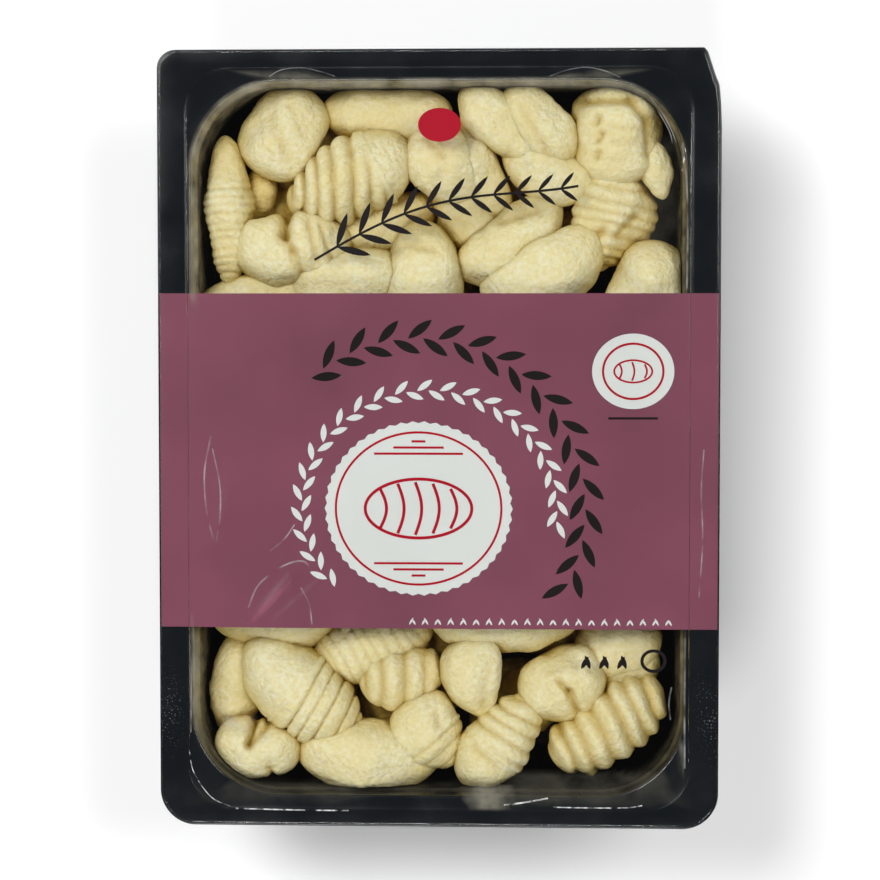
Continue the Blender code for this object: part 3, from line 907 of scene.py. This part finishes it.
BAND_UNDER = 0.06
BAND_COLUMNS = 200
BAND_ROWS = 120


def ink(name, colour, cloud):
    """Opaque printing ink, a little uneven in depth."""
    material, tree, shader, _ = new_material(name)
    shader.inputs["Roughness"].default_value = 0.35
    shader.inputs["Specular IOR Level"].default_value = 0.3
    uneven = speckle(tree, 28.0, 3.0, 0.3, 0.7)
    darker = tuple(value * (1.0 - cloud) for value in colour)
    paler = tuple(value * (1.0 + cloud) for value in colour)
    tree.links.new(blended(tree, uneven.outputs["Result"], darker, paler), shader.inputs["Base Color"])
    return material


def printed(name, shapes, depth, material):
    """A printed layer: shapes in plan, laid a set depth under the film."""
    return add_piece(name, on_film(name, shapes, -depth), material, "film_print", "lid_film")


def patch(low_x, low_y, high_x, high_y, columns, rows):
    """A rectangular patch of quads in plan."""
    xs, ys = np.linspace(low_x, high_x, columns + 1), np.linspace(low_y, high_y, rows + 1)
    grid_x, grid_y = np.meshgrid(xs, ys)
    faces = []
    for row in range(rows):
        for column in range(columns):
            start = row * (columns + 1) + column
            faces.append((start, start + 1, start + columns + 2, start + columns + 1))
    return np.column_stack([grid_x.ravel(), grid_y.ravel()]), faces


edge = HALF_WIDTH - FILM_SETBACK
printed("band_plum", [patch(-edge, BAND_LOW, edge, BAND_HIGH, BAND_COLUMNS, BAND_ROWS)], BAND_UNDER,
        ink("plum_ink", (0.215, 0.066, 0.105), cloud=0.12))

# ------------------------------------------------------------------ badges and marks
# A scalloped white badge and a round one carry red rings and a drawn gnocco. Two garlands and a row
# of ticks go with them, and a sprig, a disc, six leaves and a ring stand on the clear film. All are
# opaque ink, printed before the band, so they lie nearer the film than it does.

BADGE = (-4.7, -16.5)
BADGE_SIZE = (22.7, 21.1)
BADGE_RING = (20.2, 18.6)
SCALLOPS = 50
ROUND_BADGE = (47.4, 17.0)
ROUND_SIZE = (9.95, 9.15)
ROUND_RING = (7.3, 6.7)
LINE = 0.55
RULE_DISTANCES = (13.4, 14.9, 16.4)
RULE_LENGTHS = (21.7, 12.3, 3.4)
WHITE_UNDER = 0.045
MARK_UNDER = 0.03


def disc(centre, size, scallops=0, steps=200, rings=10):
    """A filled oval of quads round a middle point, its rim scalloped if asked."""
    turn = np.arange(steps) * 2 * math.pi / steps
    wave = 1.0 + (0.012 * np.cos(scallops * turn) if scallops else 0.0)
    rim = np.stack([size[0] * wave * np.cos(turn), size[1] * wave * np.sin(turn)], axis=1)
    points = [np.array([[0.0, 0.0]])] + [rim * (row + 1) / rings for row in range(rings)]
    faces = [(0, 1 + index, 1 + (index + 1) % steps) for index in range(steps)]
    for row in range(rings - 1):
        inner, outer = 1 + row * steps, 1 + (row + 1) * steps
        for index in range(steps):
            following = (index + 1) % steps
            faces.append((inner + index, outer + index, outer + following, inner + following))
    return np.concatenate(points) + np.array(centre), faces


def oval(centre, size, steps):
    """Points along an oval."""
    turn = np.radians(np.linspace(0.0, 360.0, steps, endpoint=False))
    return np.column_stack([centre[0] + size[0] * np.cos(turn), centre[1] + size[1] * np.sin(turn)])


def leaf(x, y, heading, length, width):
    """A leaf: two curved sides between its stalk and its tip."""
    run = np.linspace(0.0, 1.0, 9)
    half = 0.5 * width * np.sin(math.pi * run) ** 0.8
    c, s = math.cos(heading), math.sin(heading)
    sides = []
    for sign in (1.0, -1.0):
        along, across = run * length, sign * half
        sides.append(np.column_stack([x + along * c - across * s, y + along * s + across * c]))
    count = len(run)
    faces = [(index, index + 1, count + index + 1, count + index) for index in range(count - 1)]
    return np.concatenate([sides[1], sides[0]]), faces


def garland(middle, size, start, end, leaves, length, width, lean):
    """Leaves along an arc round the badge, leaning out and in by turns."""
    shapes = []
    for index in range(leaves):
        turn = math.radians(start + (end - start) * index / (leaves - 1))
        side = 1.0 if index % 2 else -1.0
        x = middle[0] + size[0] * math.cos(turn)
        y = middle[1] + size[1] * math.sin(turn)
        shapes.append(leaf(x, y, turn - math.pi / 2 + side * lean, length, width))
    return shapes


def rules(centre, distances, lengths):
    """Short level lines, one above another."""
    shapes = []
    for away, length in zip(distances, lengths):
        across = np.linspace(centre[0] - length / 2, centre[0] + length / 2, 14)
        shapes.append(stroke(np.column_stack([across, np.full(len(across), centre[1] + away)]), LINE))
    return shapes


def gnocco_sign(centre, size, ribs, width):
    """A line drawing of a gnocco: an oval with bowed ribs across it."""
    shapes = [stroke(oval(centre, size, 140), width, closed=True)]
    for place in np.linspace(-0.66, 0.66, ribs):
        half = (size[1] - width) * math.sqrt(1.0 - place ** 2)
        across = np.linspace(-half, half, 15)
        bow = size[0] * (place - 0.06 + 0.12 * np.cos(across / half * math.pi / 2))
        shapes.append(stroke(np.column_stack([centre[0] + bow, centre[1] + across]), width))
    return shapes


red = ink("red_ink", (0.43, 0.001, 0.018), cloud=0.08)
black = ink("black_ink", (0.010, 0.007, 0.008), cloud=0.3)
white = ink("white_ink", (0.70, 0.73, 0.71), cloud=0.03)

printed("badge_white", [disc(BADGE, BADGE_SIZE, SCALLOPS), disc(ROUND_BADGE, ROUND_SIZE, steps=96)],
        WHITE_UNDER, white)

red_marks = [stroke(oval(BADGE, BADGE_RING, 180), LINE, closed=True),
             stroke(oval(ROUND_BADGE, ROUND_RING, 96), LINE, closed=True)]
for side in (1.0, -1.0):
    red_marks += rules(BADGE, [side * away for away in RULE_DISTANCES], RULE_LENGTHS)
red_marks += gnocco_sign(BADGE, (13.0, 7.2), 5, 0.75)
red_marks += gnocco_sign(ROUND_BADGE, (4.6, 2.7), 3, 0.45)
red_marks.append(disc((0.4, 76.6), (5.2, 4.1), steps=60, rings=4))
printed("marks_red", red_marks, MARK_UNDER, red)

white_marks = garland((BADGE[0] + 2.6, BADGE[1]), (31.2, 28.8), 222.0, -6.0, 46, 4.6, 1.5, 0.55)
TICKS = 42
TICK_START = (-7.0, -45.0)
TICK_RUN = 64.0
for index in range(TICKS):
    x = TICK_START[0] + TICK_RUN * index / (TICKS - 1)
    length = 1.7 + 0.4 * (index % 3 == 0)
    white_marks.append(leaf(x, TICK_START[1], math.radians(60 + 60 * (index % 2)), length, 0.5))
printed("marks_white", white_marks, MARK_UNDER, white)

black_marks = garland(BADGE, (40.6, 41.5), 130.0, -26.0, 31, 7.4, 2.2, 0.6)
SPRIG_POINTS = 60
SPRIG_START = (-30.0, 44.0)
SPRIG_RUN = (64.0, 21.0)
SPRIG_BOW = 4.0
sprig = np.linspace(0.0, 1.0, SPRIG_POINTS)
sprig_x = SPRIG_START[0] + SPRIG_RUN[0] * sprig
sprig_y = SPRIG_START[1] + SPRIG_RUN[1] * sprig + SPRIG_BOW * np.sin(sprig * math.pi * 1.3)
black_marks.append(stroke(np.column_stack([sprig_x, sprig_y]), 0.6))
last_leaf = SPRIG_POINTS - 2
for index in range(5, last_leaf, 5):
    slope = math.atan2(sprig_y[index + 1] - sprig_y[index], sprig_x[index + 1] - sprig_x[index])
    length = 9.0 - 4.0 * index / last_leaf
    for side in (1.0, -1.0):
        black_marks.append(leaf(sprig_x[index], sprig_y[index], slope + side * 0.75, length, 0.20 * length))
LEAF_START = (35.0, -55.6)
LEAF_PITCH = 2.2
for index in range(6):
    x = LEAF_START[0] + LEAF_PITCH * index
    black_marks.append(leaf(x, LEAF_START[1], math.radians(60 + 50 * (index % 2)), 3.6, 1.2))
black_marks.append(stroke(oval((52.6, -53.6), (2.8, 2.5), 60), 0.8, closed=True))
black_marks += rules(ROUND_BADGE, (-11.4,), (12.0,))
printed("marks_black", black_marks, MARK_UNDER, black)

# ------------------------------------------------------------------ floor, lamps and camera
# The pack lies on a pale matt floor under three white softboxes and a faint even glow, and the
# camera looks down on it from almost straight above, with a long lens.

FLOOR_SIZE = 3.0
GLOW = 0.035
bpy.ops.mesh.primitive_plane_add(size=FLOOR_SIZE, location=(0, 0, 0))
floor = bpy.context.object
floor.name = "studio_floor"
floor_material, _, floor_shader, _ = new_material("studio_floor")
floor_shader.inputs["Base Color"].default_value = (0.92, 0.92, 0.92, 1.0)
floor_shader.inputs["Roughness"].default_value = 0.9
floor.data.materials.append(floor_material)

LAMPS = (
    # x, y, z, size, power
    (-0.62, 0.50, 0.95, 0.55, 12.3),
    (0.72, 0.30, 0.90, 0.55, 7.0),
    (-0.10, -0.85, 0.85, 0.40, 7.0),
)
AIM = Vector((0.0, 0.0, 0.03))
for index, (x, y, z, size, power) in enumerate(LAMPS):
    lamp = bpy.data.lights.new(f"softbox_{index}", "AREA")
    lamp.shape = "SQUARE"
    lamp.size = size
    lamp.energy = power
    holder = bpy.data.objects.new(lamp.name, lamp)
    bpy.context.scene.collection.objects.link(holder)
    holder.location = (x, y, z)
    holder.rotation_euler = (AIM - holder.location).to_track_quat("-Z", "Y").to_euler()

world = bpy.context.scene.world or bpy.data.worlds.new("studio")
bpy.context.scene.world = world
world.use_nodes = True
world.node_tree.nodes["Background"].inputs["Color"].default_value = (1.0, 1.0, 1.0, 1.0)
world.node_tree.nodes["Background"].inputs["Strength"].default_value = GLOW
bpy.context.scene.view_settings.view_transform = "Standard"

VIEW_DISTANCE = 0.620
VIEW_WIDTH = 0.2145
SENSOR_WIDTH = 36.0
LEAN_X, LEAN_Y = math.radians(2.7), math.radians(3.0)
target = Vector((0.0005, 0.0002, FLANGE_TOP * MM))
back = Vector((math.tan(LEAN_X), math.tan(LEAN_Y), 1.0)).normalized()
right = Vector((0.0, 1.0, 0.0)).cross(back).normalized()
up = back.cross(right)
camera_data = bpy.data.cameras.new("camera")
camera_data.sensor_width = SENSOR_WIDTH
camera_data.lens = SENSOR_WIDTH * VIEW_DISTANCE / VIEW_WIDTH
camera = bpy.data.objects.new("camera", camera_data)
bpy.context.scene.collection.objects.link(camera)
turn = Matrix((right, up, back)).transposed().to_4x4()
camera.matrix_world = Matrix.Translation(target + back * VIEW_DISTANCE) @ turn
bpy.context.scene.camera = camera
